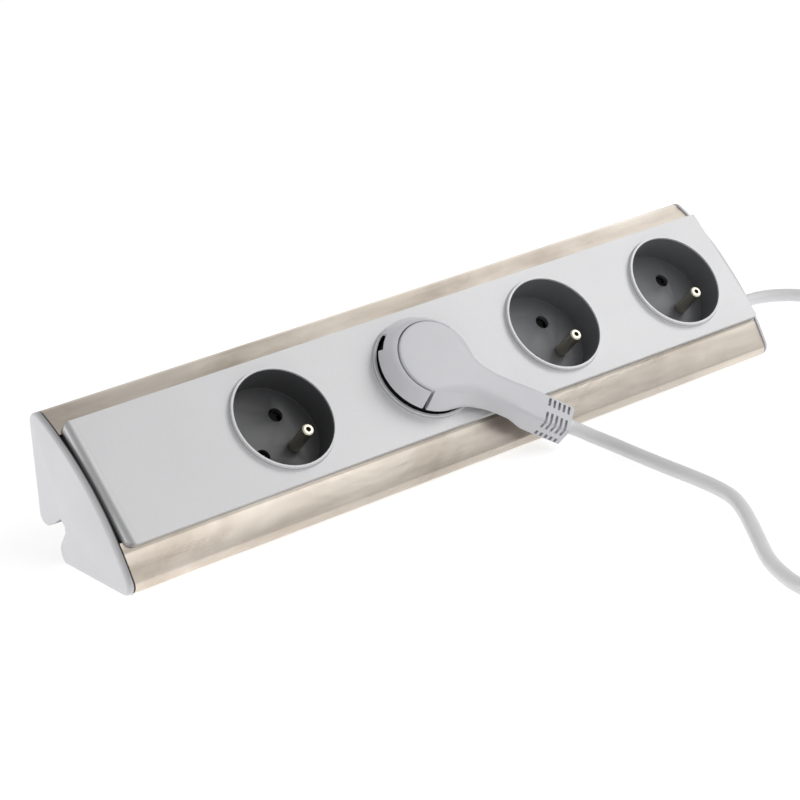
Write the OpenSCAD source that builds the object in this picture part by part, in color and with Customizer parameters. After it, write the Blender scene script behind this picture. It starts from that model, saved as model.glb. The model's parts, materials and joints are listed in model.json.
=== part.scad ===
// Corner power strip: four recessed sockets on a 45 degree face, for the corner of a worktop and a wall.
// X runs along the strip, +Y towards the wall, Z up from the worktop. Origin at the middle of its footprint.
// Two local frames are used. The section frame has its origin on the line where back and bottom planes
// meet, s up the slope and t out towards the front. The socket frame has x along the strip, y up the
// slope and z out of the face, with its origin on a socket's axis in the plane of its rim.

/* [Strip] */
// Length of the bent steel profile
body_len = 303.8; // [300:0.2:340]
// Depth from the corner line to the crown of the front arc
crown_depth = 46.7; // [46:0.1:50]
// Radius of the front arc
arc_r = 106.7; // [100:0.1:120]
// Radius of the bends at the top and at the toe
nose_r = 3.5; // [3.2:0.1:4]
// Thickness of the steel sheet
sheet_t = 1; // [0.8:0.1:1.2]
// Length of the flat lips on the back and on the bottom
lip_len = 14; // [12:1:16]
// Depth of the channel's floor below the crown of the arc
channel_depth = 6; // [5:0.1:7]
// Half width of the channel that the fascia sits in
slot_half = 22; // [21.5:0.1:22.5]
// Height of the face's centre line above the middle of the arc
face_shift = 1.6; // [1:0.1:2]

/* [Fascia] */
// Width of the fascia across the slope
fascia_w = 49.8; // [49:0.1:51]
// Thickness of the fascia's face
fascia_t = 2; // [1.8:0.1:2.4]
// Gap between the left end of the profile and the fascia
fascia_gap_left = 1.2; // [0.8:0.1:2]
// How far the fascia reaches over the right end cap
fascia_over = 1.6; // [1.4:0.1:1.8]
// Height of the bead along the fascia's left edge
bead_h = 1.1; // [0.8:0.1:1.3]
// Radius of the bead's crest
bead_r = 1.4; // [1.3:0.1:1.6]
// Radius of the hollow between bead and face
bead_hollow_r = 4; // [3:0.5:5]
// Radius of the fascia's left corners
corner_r = 3; // [2:0.5:4]
// Height of the collars over the face
collar_h = 2; // [1.5:0.1:2.5]
// Width of the collar's rim
rim_w = 0.8; // [0.6:0.1:1]
// Spread of the collar's foot beyond its rim
collar_flare = 0.5; // [0.3:0.1:1.5]

/* [Sockets] */
// Number of sockets
socket_count = 4; // [4:1:4]
// Distance between sockets
pitch = 65; // [64:0.5:67]
// Distance from the last socket to the right end of the profile
last_socket = 27.8; // [27.6:0.1:30]
// Which socket holds the plug, counted from the left
plug_socket = 2; // [2:1:3]
// Radius of the well
well_r = 19.5; // [19.4:0.1:19.7]
// Depth of the well
well_depth = 14.5; // [14:0.1:15]
// Wall of the well's lower part
well_wall = 1.2; // [1:0.1:1.4]
// Wall of the well inside the collar
well_lip = 0.7; // [0.6:0.1:0.8]
// Thickness of the well's floor
floor_t = 2.2; // [2:0.1:2.4]
// Distance of the contact holes from the well's axis
contact_off = 9.5; // [9.4:0.1:9.6]
// Radius of the contact holes
contact_hole_r = 2.7; // [2.6:0.05:2.8]
// Distance of the earth pin from the well's axis
earth_off = 10; // [9.8:0.1:10.2]
// Radius of the earth pin
earth_r = 2.4; // [2.3:0.05:2.45]
// Radius of the earth pin's foot, below the floor
earth_foot_r = 2.1; // [2:0.05:2.2]
// How far the earth pin's tip lies below the rim
earth_tip = 1.1; // [1:0.1:1.5]

/* [Contacts] */
// Thickness of the metal rails
rail_t = 0.8; // [0.6:0.1:1]
// Width of the metal rails
rail_w = 5; // [4.5:0.1:5]
// Bore radius of the contact sleeves
sleeve_r = 2.46; // [2.44:0.01:2.5]
// Height of the contact sleeves
sleeve_h = 6; // [5:0.5:6.5]
// Travel of a shutter
shutter_travel = 6.6; // [6.6:0.1:6.8]
// Thickness of a shutter
shutter_t = 2.2; // [1.8:0.1:2.4]
// Turns of a shutter's spring
spring_turns = 5; // [4:1:6]

/* [Ends] */
// Thickness of the end caps
cap_t = 2.8; // [2.4:0.1:3.2]
// Width of the dark seam between cap and profile
seam_gap = 0.4; // [0.3:0.05:0.6]
// How far the caps stand proud of the front arc
cap_proud = 0.4; // [0.2:0.1:0.6]
// Radius of the caps' outer edge
cap_edge_r = 1; // [0.6:0.1:1.2]
// Depth of the spigots that plug into the profile
spigot_len = 6; // [4:0.5:8]
// Half width of the cable notch at its end
notch_half = 2.3; // [2:0.1:2.6]
// Depth of the cable notch from the corner line
notch_depth = 22.3; // [21.5:0.1:23]
// Distance of the centre of a foot's curve from the middle of the notch
foot_s = 8.6; // [8.4:0.1:9]
// Radius of the feet beside the notch
foot_r = 4.8; // [4.6:0.1:5]

/* [Rear] */
// Thickness of the rear cover
cover_t = 2.5; // [2.2:0.1:2.8]
// Length of the cable recess at each end
pocket_len = 6.5; // [6:0.5:7]
// Wall round the cable recess
pocket_wall = 1.6; // [1.4:0.1:1.8]
// Distance of the lead's outlet from the back and from the bottom
cord_off = 7.5; // [7.2:0.1:8]

/* [Plug] */
// Radius of the plug's insert
core_r = 17.8; // [17.4:0.1:18]
// Radius of the plug's contact pins
pin_r = 2.4; // [2.35:0.01:2.4]
// Length of the plug's contact pins
pin_len = 19; // [18.5:0.1:19]
// Radius of the plug's round head
head_r = 15.5; // [15.2:0.1:15.6]
// Height of the head above the rim
head_top = 9.3; // [9:0.1:10]
// Outer radius of the pull ring
ring_r = 19.9; // [19.6:0.1:20.2]
// Height of the ring's lower edge above the rim
ring_low = 2.3; // [2:0.1:2.6]
// Height of the ring's upper edge above the rim
ring_top = 8.4; // [8.2:0.1:8.6]
// Half width of the plug's neck
neck_half = 6.4; // [6:0.1:6.6]
// Height of the neck's top above the rim
neck_top = 8; // [7.6:0.1:8.4]
// Distance from the head's centre to the end of the strain relief
neck_len = 58; // [56:0.5:60]

/* [Lead] */
// Diameter of the mains lead
cord_d = 5.4; // [5.2:0.1:5.6]
// Radius of the coil's innermost turn
coil_inner = 23.5; // [22:0.5:25]
// Distance between the coil's turns
coil_pitch = 6; // [6:0.1:6.4]
// Height between the coil's two layers
coil_rise = 5.9; // [5.9:0.1:6.2]

/* [Hidden] */
$fn = 64;

root2 = sqrt(2);
// Seat left between fitted pieces of the body
seat = 0.1;
arc_fn = 180;
steel_colour = "#c9bfb2";
fascia_colour = "#d6d7da";
cap_colour = "#d9d8db";
well_colour = "#57585b";
plug_colour = "#c9c9cd";
brass_colour = "#c9a24e";
nickel_colour = "#b9b7a6";
cover_colour = "#bdbdc0";
cord_colour = "#dcdcdc";

// Front arc and noses in the section frame
arc_t = crown_depth - arc_r;
function nose_k(r, inset) = (r + inset) * root2 - arc_t;
function nose_s(ra, r, inset) =
    (-nose_k(r, inset) + sqrt(2 * pow(ra - r, 2) - pow(nose_k(r, inset), 2))) / 2;
function nose_t(ra, r, inset) = nose_s(ra, r, inset) + (r + inset) * root2;
function arc_at(s, ra) = arc_t + sqrt(ra * ra - s * s);

// The caps stand proud of the arc, so they give the overall depth
cap_r = arc_r + cap_proud;
cap_nose = nose_r + cap_proud;
toe_depth = (nose_s(cap_r, cap_nose, 0) + nose_t(cap_r, cap_nose, 0)) / root2 + cap_nose;
corner_y = toe_depth / 2;
flat_len = (nose_s(arc_r, nose_r, 0) + nose_t(arc_r, nose_r, 0)) / root2;
lip_start = flat_len - lip_len;

// Face and sockets
rim_t = crown_depth + collar_h;
face_z = -collar_h;
first_x = body_len / 2 - last_socket - (socket_count - 1) * pitch;
function socket_x(i) = first_x + (i - 1) * pitch;
fascia_left = -body_len / 2 + fascia_gap_left;
fascia_right = body_len / 2 + fascia_over;
// Thickness of the fascia over the end cap
lip_t = 1.5;
// Where the fascia's skirt ends, inside the profile
skirt_right = body_len / 2 - 0.6;
shoulder_z = face_z - fascia_t - seat;
under_z = -well_depth - floor_t;
contact_xy = contact_off / root2;
earth_xy = earth_off / root2;

// Contacts behind the wells, from the floor down
shutter_gap = 0.4;
shutter_top = under_z - shutter_gap;
shutter_low = shutter_top - shutter_t;
sleeve_top = shutter_low - 0.6;
rail_z = sleeve_top - sleeve_h;
carrier_plate = 2;
carrier_low = rail_z - carrier_plate - seat;
carrier_half = 13.8;
carrier_wall = 1.6;
carrier_right = socket_x(socket_count) + 11.5;
// Space at the left of the first socket
carrier_margin = 22;
carrier_left = socket_x(1) - carrier_margin;
sleeve_wall = 0.9;
rail_off = 8;
earth_rail_off = 14.2;
earth_rail_w = 4;
earth_rail_z = under_z - 0.2 - rail_t;
pad_r = 3.6;
bridge_half = 1.9;
spring_stop = 15.5;
spring_seat = 4;
spring_r = 1.1;
spring_wire = 0.45;

// Screws that draw cover and fascia together, on the corner line between the sockets
free_left = -body_len / 2 + pocket_len + pocket_wall;
screw_x = [(free_left + socket_x(1) - well_r - well_wall) / 2, for (i = [1 : socket_count - 1]) socket_x(i) + pitch / 2];
screw_r = 1.5;
screw_head_r = 3;
screw_head_t = 7;
boss_r = 5;
boss_top = 14;
pillar_r = 2.8;

// Cable outlet in the section frame
outlet_t = cord_off * root2;
pocket_in = body_len / 2 - pocket_len;
gland_out = 14;
gland_end_x = body_len / 2 + gland_out;
gland_neck = 4;
gland_end_r = 3.5;
cord_r = cord_d / 2;

// Plug
core_face = -well_depth + 0.3;
core_top = 0.8;
ring_in = head_r + 0.3;
ring_hinge_x = -0.3;
ring_hinge_z = ring_top - 1.5;
ring_end_x = ring_hinge_x + 2.8;
ring_slot = 0.9;
relief_low = -1.5;
relief_start = 40;
exit_z = 3.3;

// Terminals at the right end, above the cable recess
block_x = carrier_right + 0.4;
flange_t = 1.5;
block_len = pocket_in - pocket_wall - flange_t - 0.3 - block_x;
block_h = 10;
block_top = rim_t + under_z - 3;
block_low = block_top - block_h;
terminal_x = block_x + block_len / 2;
terminal_s = 8;
terminal_half = 12.5;
terminal_bore_h = 5;
rail_end = terminal_x - 1.6;
// Clear height over the deepest parts of the strip, for cuts that leave through the front
clear = 2 * crown_depth;

// Route of the lead on the table, by hand, from the plug's strain relief to the coil
lead_run_points = [
    [38.9, -41.5, 6.4], [41.7, -46, 4.4], [43.5, -51.2, 3.2], [44.1, -56.8, 2.7], [43.6, -66.4, 2.7],
    [43.1, -82.5, 2.7], [42.9, -98.3, 2.7], [41.8, -111.3, 2.7], [39.5, -119.9, 2.7],
    [34.9, -128.7, 2.7], [27.5, -139.9, 2.7], [18.9, -152.1, 2.7], [10.8, -164.3, 2.7],
    [5.6, -176.5, 2.7], [3.7, -186, 2.7], [5.6, -195.6, 2.7], [11, -203.7, 2.7], [19.1, -209.1, 2.7],
    [28.7, -211, 2.7], [44.1, -211, 2.7], [62.1, -211, 2.7]
];
// Route of the lead from the outlet in the right end to the coil, by hand
lead_out_points = [
    [173.1, 19.3, 6.9], [178.4, 19.3, 5.1], [183.6, 19.3, 3.3], [188.8, 19.3, 2.7], [196.3, 18.3, 2.7],
    [202.6, 15.3, 2.7], [207.8, 10.6, 2.7], [211.5, 4.6, 2.7], [213.2, -2.2, 2.7], [212.9, -9.2, 2.7],
    [210.6, -15.8, 2.7], [199.9, -36, 2.7], [189.3, -56.2, 2.7], [178.7, -76.5, 2.7],
    [168, -96.7, 2.7], [157.4, -116.9, 2.7], [146.8, -137.1, 2.7], [141.5, -147.1, 2.7],
    [138.8, -152.2, 3.4], [136.1, -157.3, 5.6], [133.4, -162.4, 7.9], [130.8, -167.5, 8.6],
    [125.5, -177.5, 8.6]
];
// Coil on the table beside the strip
coil_centre = [85.1, -173.5];
coil_turns = 7 / 3;
coil_start = -90;
coil_rings = 24;

// Frame of the section: children are drawn in s and t, extruded along X
module along(x, len)
    translate([x, corner_y, 0]) rotate([45, 0, 0]) rotate([90, 0, 90]) linear_extrude(len) children();

// Frame of the face at a place along the strip
module face_frame(x)
    translate([x, corner_y, 0]) rotate([45, 0, 0]) translate([0, face_shift, rim_t]) children();

// Frame of the corner line: x along the strip, y up the slope, z out towards the front
module corner_frame(x) translate([x, corner_y, 0]) rotate([45, 0, 0]) children();

// The area between the back and the bottom planes
module wedge_2d(inset = 0)
    polygon([[0, inset * root2], [clear, clear + inset * root2], [-clear, clear + inset * root2]]);

// Outline of the strip: arc, two noses, flat back and flat bottom
module section_2d(ra, r, inset) {
    s0 = nose_s(ra, r, inset);
    t0 = nose_t(ra, r, inset);
    lean = atan2(s0, t0 - arc_t);
    difference() {
        intersection() {
            translate([0, arc_t]) circle(ra, $fn = arc_fn);
            wedge_2d(inset);
        }
        for (side = [-1, 1]) polygon([
            [side * s0, t0], [side * (s0 + 3 * r * sin(lean)), t0 + 3 * r * cos(lean)],
            [side * (s0 + 5 * r), t0 + r], [side * (s0 + 2 * r), t0 - 2 * r]
        ]);
    }
    for (side = [-1, 1]) translate([side * s0, t0]) circle(r, $fn = 32);
}

// Cable notch between the two feet, grown by g: straight flanks run from its end onto the feet's curves
foot_t = foot_s + foot_r * root2;
module notch_2d(g = 0) {
    end = [notch_half + 0.7 * g, notch_depth + g];
    to_end = end - [foot_s, foot_t];
    a = atan2(to_end[1], to_end[0]) + acos((foot_r - g) / norm(to_end));
    meet = [foot_s + (foot_r - g) * cos(a), foot_t + (foot_r - g) * sin(a)];
    far = 5 * foot_r;
    difference() {
        polygon([
            end, meet, [foot_s, foot_t], [foot_s + far, foot_t - far], [-foot_s - far, foot_t - far],
            [-foot_s, foot_t], [-meet[0], meet[1]], [-end[0], end[1]]
        ]);
        for (side = [-1, 1]) translate([side * foot_s, foot_t]) circle(foot_r - g, $fn = 48);
    }
}

module steel_profile() color(steel_colour) {
    slot_low = face_shift - slot_half;
    slot_high = face_shift + slot_half;
    floor_top = crown_depth - channel_depth;
    difference() {
        along(-body_len / 2, body_len) {
            difference() {
                section_2d(arc_r, nose_r, 0);
                section_2d(arc_r - sheet_t, nose_r - sheet_t, sheet_t);
                rotate(45) translate([-1, -1]) square(lip_start + 1);
                translate([slot_low, crown_depth - 2 * channel_depth]) square([2 * slot_half, 4 * channel_depth]);
            }
            // Channel: two walls and a floor
            for (edge = [[slot_low - sheet_t, slot_low - sheet_t], [slot_high, slot_high + sheet_t]])
                translate([edge[0], floor_top - sheet_t])
                    square([sheet_t, arc_at(edge[1], arc_r) - 0.3 * sheet_t - floor_top + sheet_t]);
            translate([slot_low - sheet_t, floor_top - sheet_t]) square([2 * (slot_half + sheet_t), sheet_t]);
        }
        // Holes for the wells and for the fascia's pillars
        for (i = [1 : socket_count]) face_frame(socket_x(i)) translate([0, 0, under_z - 8]) cylinder(r = well_r + well_wall + 0.4, h = -under_z + 7);
        for (x = screw_x) corner_frame(x) translate([0, 0, boss_top]) cylinder(r = pillar_r + 0.3, h = clear);
    }
}

// Rings with a sloped outside, in the socket frame
module collar() rotate_extrude() polygon([
    [well_r, 0], [well_r + rim_w, 0], [well_r + rim_w + collar_flare, face_z],
    [well_r + rim_w + collar_flare, face_z - 1], [well_r + well_lip + seat / 2, face_z - 1],
    [well_r + well_lip + seat / 2, -rim_w], [well_r, -rim_w]
]);

// Section of the fascia's left edge in x and z: a bead with a hollow that runs out into the face.
// The curves cross by a hair instead of touching.
hair = 0.02;
crest_z = face_z + bead_h - bead_r;
hollow_z = face_z + bead_hollow_r - hair;
hollow_x = bead_r + sqrt(pow(bead_r + bead_hollow_r - hair, 2) - pow(hollow_z - crest_z, 2));
module bead_2d(low) {
    crest = [bead_r, crest_z];
    middle = [hollow_x, hollow_z];
    way = (middle - crest) / norm(middle - crest);
    difference() {
        polygon([
            [0, low], [hollow_x + 1, low], [hollow_x + 1, face_z], [hollow_x, face_z],
            crest + (bead_r + 0.4) * way, crest + 0.5 * bead_r * way, crest, [0, crest_z]
        ]);
        translate(middle) circle(bead_hollow_r);
    }
    translate(crest) circle(bead_r);
}

// Outline of the fascia seen from the front
module fascia_2d() {
    right_r = 1;
    half = fascia_w / 2;
    translate([fascia_left + corner_r, -half]) square([fascia_right - right_r - fascia_left - corner_r, fascia_w]);
    translate([fascia_left, -half + corner_r]) square([2 * corner_r, fascia_w - 2 * corner_r]);
    translate([fascia_right - 2 * right_r, -half + right_r]) square([2 * right_r, fascia_w - 2 * right_r]);
    for (side = [-1, 1]) {
        translate([fascia_left + corner_r, side * (half - corner_r)]) circle(corner_r, $fn = 48);
        translate([fascia_right - right_r, side * (half - right_r)]) circle(right_r, $fn = 32);
    }
}

module fascia() color(fascia_colour) {
    skirt_half = slot_half - 0.3;
    skirt_wall = 1.4;
    skirt_low = -channel_depth - collar_h + seat;
    end_wall = 2;
    ring_r_in = well_r + well_wall + seat;
    hollow_from = fascia_left + hollow_x + 1;
    difference() {
        union() {
            face_frame(0) difference() {
                translate([0, 0, skirt_low]) linear_extrude(face_z - skirt_low + bead_h) fascia_2d();
                // Above the face, and round the bead
                translate([hollow_from - 0.5, -fascia_w, face_z]) cube([body_len + 9, 2 * fascia_w, 2 * bead_h]);
                translate([fascia_left, fascia_w, 0]) rotate([90, 0, 0]) linear_extrude(2 * fascia_w) difference() {
                    translate([-1, crest_z - 1]) square([hollow_x + 2, 2 * bead_h + 2]);
                    bead_2d(crest_z - 2);
                }
                // Hollow behind the face
                translate([hollow_from, -skirt_half + skirt_wall, skirt_low - 1])
                    cube([skirt_right - end_wall - hollow_from, 2 * (skirt_half - skirt_wall), face_z - fascia_t - skirt_low + 1]);
            }
            for (i = [1 : socket_count]) face_frame(socket_x(i)) {
                collar();
                translate([0, 0, skirt_low]) difference() {
                    cylinder(r = ring_r_in + 1.4, h = face_z - skirt_low - 1);
                    translate([0, 0, -1]) cylinder(r = ring_r_in, h = 9);
                }
            }
            // Pillars for the screws from the corner line
            for (x = screw_x) corner_frame(x)
                translate([0, 0, boss_top + 0.2]) cylinder(r = pillar_r, h = rim_t + face_z - fascia_t - boss_top + 0.3);
        }
        // The underside lies on the steel arc, and at the right on the end cap
        along(fascia_left - 2, skirt_right - fascia_left + 2) difference() {
            translate([0, arc_t]) circle(arc_r + seat / 2, $fn = arc_fn);
            translate([face_shift - skirt_half, 0]) square([2 * skirt_half, clear]);
        }
        along(skirt_right, fascia_over + 2) difference() {
            translate([0, arc_t]) circle(cap_r + seat, $fn = arc_fn);
            translate([-clear, crown_depth - lip_t]) square([2 * clear, clear]);
        }
        for (i = [1 : socket_count]) face_frame(socket_x(i)) {
            translate([0, 0, skirt_low - 1]) cylinder(r = ring_r_in, h = face_z - fascia_t - skirt_low + 1);
            translate([0, 0, shoulder_z - 0.5]) cylinder(r = well_r + well_lip + seat / 2, h = -rim_w - shoulder_z + 0.5);
            translate([0, 0, -rim_w - 1]) cylinder(r = well_r, h = 5);
        }
        for (x = screw_x) corner_frame(x) translate([0, 0, boss_top - 1]) cylinder(r = screw_r, h = rim_t + face_z - fascia_t - boss_top);
    }
}

module socket_well(i) color(well_colour) face_frame(socket_x(i)) {
    guide_v = 11;
    difference() {
        union() {
            translate([0, 0, under_z]) cylinder(r = well_r + well_wall, h = shoulder_z - under_z);
            translate([0, 0, shoulder_z - 1]) cylinder(r = well_r + well_lip, h = -rim_w - seat - shoulder_z + 1);
            // Guides and spring stop of the shutter
            for (side = [-1, 1]) translate([-spring_stop - 1.5, side * guide_v - 0.5, shutter_low])
                cube([spring_stop + (side > 0 ? 12 : 3), 1, under_z - shutter_low + 0.5]);
            translate([-spring_stop - 1.5, -2.2, shutter_low - 0.2]) cube([1.5, 4.4, under_z - shutter_low + 0.7]);
        }
        translate([0, 0, -well_depth]) cylinder(r = well_r, h = well_depth + 1);
        for (side = [-1, 1]) translate([side * contact_xy, side * contact_xy, under_z - 1])
            cylinder(r = contact_hole_r, h = floor_t + 2);
        translate([earth_xy, -earth_xy, under_z - 1]) cylinder(r = earth_foot_r + 0.05, h = floor_t + 2);
    }
}

module earth_pin(i) color(nickel_colour) face_frame(socket_x(i)) translate([earth_xy, -earth_xy, 0])
    difference() {
        union() {
            // Foot through the floor and the rail, then the pin itself
            translate([0, 0, earth_rail_z - 1.2]) cylinder(r = earth_foot_r, h = 1 - well_depth - earth_rail_z + 1.2);
            translate([0, 0, 0.1 - well_depth]) cylinder(r = earth_r, h = well_depth - 0.1 - earth_tip - 0.8);
            // Rounded tip
            translate([0, 0, -earth_tip - 0.8]) rotate_extrude() intersection() {
                square([earth_r, 0.8]);
                translate([earth_r - 0.8, 0]) union() {
                    circle(0.8, $fn = 32);
                    translate([-earth_r, 0]) square([earth_r, 0.8]);
                }
            }
        }
        // Centre dimple left by the lathe
        translate([0, 0, -earth_tip]) rotate_extrude() polygon([[0, -0.7], [0.9, 0.1], [0, 0.1]]);
    }

module shutter(i) color("#303134") face_frame(socket_x(i) - (i == plug_socket ? shutter_travel : 0)) {
    difference() {
        union() {
            for (side = [-1, 1]) translate([side * contact_xy, side * contact_xy, shutter_low])
                cylinder(r = pad_r, h = shutter_t);
            translate([0, 0, shutter_low]) rotate([0, 0, 45])
                translate([-contact_off, -bridge_half, 0]) cube([2 * contact_off, 2 * bridge_half, shutter_t]);
            // Seat of the spring
            translate([-spring_seat, -1.6, shutter_low]) cube([spring_seat, 3.2, shutter_t]);
        }
        // Ramps that the plug's pins slide down
        for (side = [-1, 1]) translate([side * contact_xy + 0.6, side * contact_xy - 5, shutter_low + 0.9])
            rotate([0, 35, 0]) cube([8, 5.3, 6]);
    }
}

// A closed tube swept along points, with flat ends
function unit(v) = v / norm(v);
function tangent(p, i) = unit(p[min(i + 1, len(p) - 1)] - p[max(i - 1, 0)]);
function across(t, n) = unit(n - (n * t) * t);
function normals(p, i, n) = i >= len(p) ? [] : let (m = across(tangent(p, i), n)) concat([m], normals(p, i + 1, m));
function tube_points(p, r, sides) = let (n = normals(p, 0, abs(tangent(p, 0)[2]) > 0.9 ? [1, 0, 0] : [0, 0, 1]))
    [for (i = [0 : len(p) - 1]) let (t = tangent(p, i), b = cross(t, n[i]))
        for (k = [0 : sides - 1]) let (a = 360 * (k + 0.5) / sides) p[i] + r * (cos(a) * n[i] + sin(a) * b)];
function tube_faces(count, sides) = concat(
    [for (i = [0 : count - 2]) for (k = [0 : sides - 1]) let (a = i * sides + k, b = i * sides + (k + 1) % sides)
        each [[a, b, b + sides], [a, b + sides, a + sides]]],
    [for (k = [1 : sides - 2]) [0, k + 1, k]],
    [for (k = [1 : sides - 2]) let (o = (count - 1) * sides) [o, o + k, o + k + 1]]
);
module tube(p, r, sides) polyhedron(tube_points(p, r, sides), tube_faces(len(p), sides));

module shutter_spring(i) color("#c7c7c7") {
    far = -spring_seat - (i == plug_socket ? shutter_travel : 0) - 0.1;
    near = -spring_stop + 0.1;
    rings = 8 * spring_turns;
    face_frame(socket_x(i)) translate([0, 0, shutter_low + shutter_t / 2])
        tube([for (k = [0 : rings]) [near + spring_wire + (far - near - 2 * spring_wire) * k / rings,
            spring_r * cos(45 * k), spring_r * sin(45 * k)]], spring_wire / 2, 6);
}

// Strip with a sleeve for every contact, on one side of the face's centre line
module contact_rail(side) {
    y = side * contact_xy;
    strip_y = side * rail_off;
    from = socket_x(1) + side * contact_xy - pad_r;
    to = rail_end;
    difference() {
        union() {
            face_frame(0) translate([from, strip_y - rail_w / 2, rail_z]) cube([to - from, rail_w, rail_t]);
            for (i = [1 : socket_count]) face_frame(socket_x(i)) translate([side * contact_xy, y, rail_z]) {
                cylinder(r = sleeve_r + sleeve_wall, h = sleeve_h);
                cylinder(r = pad_r, h = rail_t);
            }
        }
        for (i = [1 : socket_count]) face_frame(socket_x(i)) translate([side * contact_xy, y, rail_z]) {
            translate([0, 0, -1]) cylinder(r = sleeve_r, h = sleeve_h + 2);
            // Slots that let the sleeve spring
            for (a = [0, 90]) rotate([0, 0, a]) translate([-5, -0.4, 1.6]) cube([10, 0.8, sleeve_h]);
            // Flared mouth
            translate([0, 0, sleeve_h - 0.6]) rotate_extrude() polygon([[0, 0], [sleeve_r, 0], [sleeve_r + 0.6, 0.61], [0, 0.61]]);
        }
    }
}

module live_rail() color(brass_colour) contact_rail(1);
module neutral_rail() color(brass_colour) contact_rail(-1);

module earth_rail() color(brass_colour) difference() {
    from = socket_x(1) + earth_xy - 4;
    to = rail_end - 0.3;
    low_y = -earth_rail_off - earth_rail_w / 2;
    union() {
        face_frame(0) translate([from, low_y, earth_rail_z]) cube([to - from, earth_rail_w, rail_t]);
        // Tabs to the pins
        for (i = [1 : socket_count]) face_frame(socket_x(i)) {
            translate([earth_xy, -earth_xy, earth_rail_z]) cylinder(r = 4, h = rail_t);
            translate([earth_xy - 2.5, low_y, earth_rail_z]) cube([5, -earth_xy - low_y, rail_t]);
        }
        // Step down to the terminals
        face_frame(to) {
            translate([-4, low_y, earth_rail_z]) cube([4, -rail_off + rail_w / 2 - low_y, rail_t]);
            translate([-rail_t, -rail_off - rail_w / 2, rail_z + 3]) cube([rail_t, rail_w, earth_rail_z - rail_z - 3 + rail_t]);
        }
    }
    for (i = [1 : socket_count]) face_frame(socket_x(i))
        translate([earth_xy, -earth_xy, earth_rail_z - 1]) cylinder(r = earth_foot_r + 0.02, h = rail_t + 2);
}

module contact_carrier() color("#8e9094") intersection() {
    carrier_shape();
    along(-body_len / 2, body_len) wedge_2d(cover_t + 0.4);
}

module carrier_shape() face_frame(0) difference() {
    length = carrier_right - carrier_left;
    top = under_z - 0.3 - shutter_t - shutter_gap;
    union() {
        translate([carrier_left, -carrier_half, carrier_low]) cube([length, 2 * carrier_half, carrier_plate]);
        for (side = [-1, 1]) translate([carrier_left, side > 0 ? carrier_half - carrier_wall : -carrier_half, carrier_low])
            cube([length, carrier_wall, top - carrier_low]);
        translate([carrier_left, -carrier_half, carrier_low]) cube([carrier_wall, 2 * carrier_half, top - carrier_low]);
        // Ribs between the two rails
        for (i = [1 : socket_count]) for (x = [socket_x(i) - 18, socket_x(i) + 18]) if (x < carrier_right - carrier_wall)
            translate([x, -3.6, carrier_low]) cube([carrier_wall, 7.2, 5]);
    }
    for (i = [1 : socket_count]) for (side = [-1, 1])
        translate([socket_x(i) + side * contact_xy, side * contact_xy, carrier_low - 1]) cylinder(r = 3, h = carrier_plate + 2);
    for (x = screw_x) translate([x, -face_shift, carrier_low - 1]) cylinder(r = pillar_r + 0.3, h = 20);
}

// Plates of the rear cover, drawn with the corner line at the origin
module cover_legs_2d() {
    lap = 5.5;
    intersection() {
        wedge_2d(0);
        rotate(45) for (turn = [0, 1]) mirror(turn == 1 ? [1, -1] : [0, 0]) {
            square([lip_start - 0.3, cover_t]);
            translate([lip_start - 5, sheet_t + seat]) square([5 + lap, cover_t - sheet_t - seat]);
        }
    }
}

module rear_cover() color(cover_colour) {
    reach = body_len - 0.4;
    difference() {
        union() {
            along(-reach / 2, reach) cover_legs_2d();
            // Walls round the recess at each end
            for (m = [0, 1]) mirror([m, 0, 0]) along(-reach / 2, pocket_len - 0.2 + pocket_wall)
                intersection() { wedge_2d(0); notch_2d(pocket_wall); }
            // Bosses of the screws
            intersection() {
                for (x = screw_x) corner_frame(x) cylinder(r = boss_r, h = boss_top);
                along(-body_len / 2, body_len) wedge_2d(0);
            }
        }
        for (m = [0, 1]) mirror([m, 0, 0]) along(-body_len / 2 - 1, pocket_len + 1) notch_2d(0);
        // Outlet of the lead
        corner_frame(pocket_in - 5) translate([0, 0, outlet_t]) rotate([0, 90, 0]) cylinder(r = gland_neck + seat, h = 20);
        for (x = screw_x) corner_frame(x) {
            translate([0, 0, -1]) cylinder(r = screw_head_r + 0.4, h = screw_head_t + 3);
            cylinder(r = screw_r + 0.2, h = boss_top + 5);
        }
    }
}

module cover_screws() color("#b5b5b5") for (x = screw_x) corner_frame(x) difference() {
    union() {
        translate([0, 0, screw_head_t - 0.3]) cylinder(r = screw_head_r, h = 2);
        translate([0, 0, screw_head_t + 1]) cylinder(r = screw_r - 0.05, h = 20);
    }
    // Cross recess
    for (a = [0, 90]) rotate([0, 0, a]) translate([-2, -0.4, screw_head_t - 0.5]) cube([4, 0.8, 1.4]);
}

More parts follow.
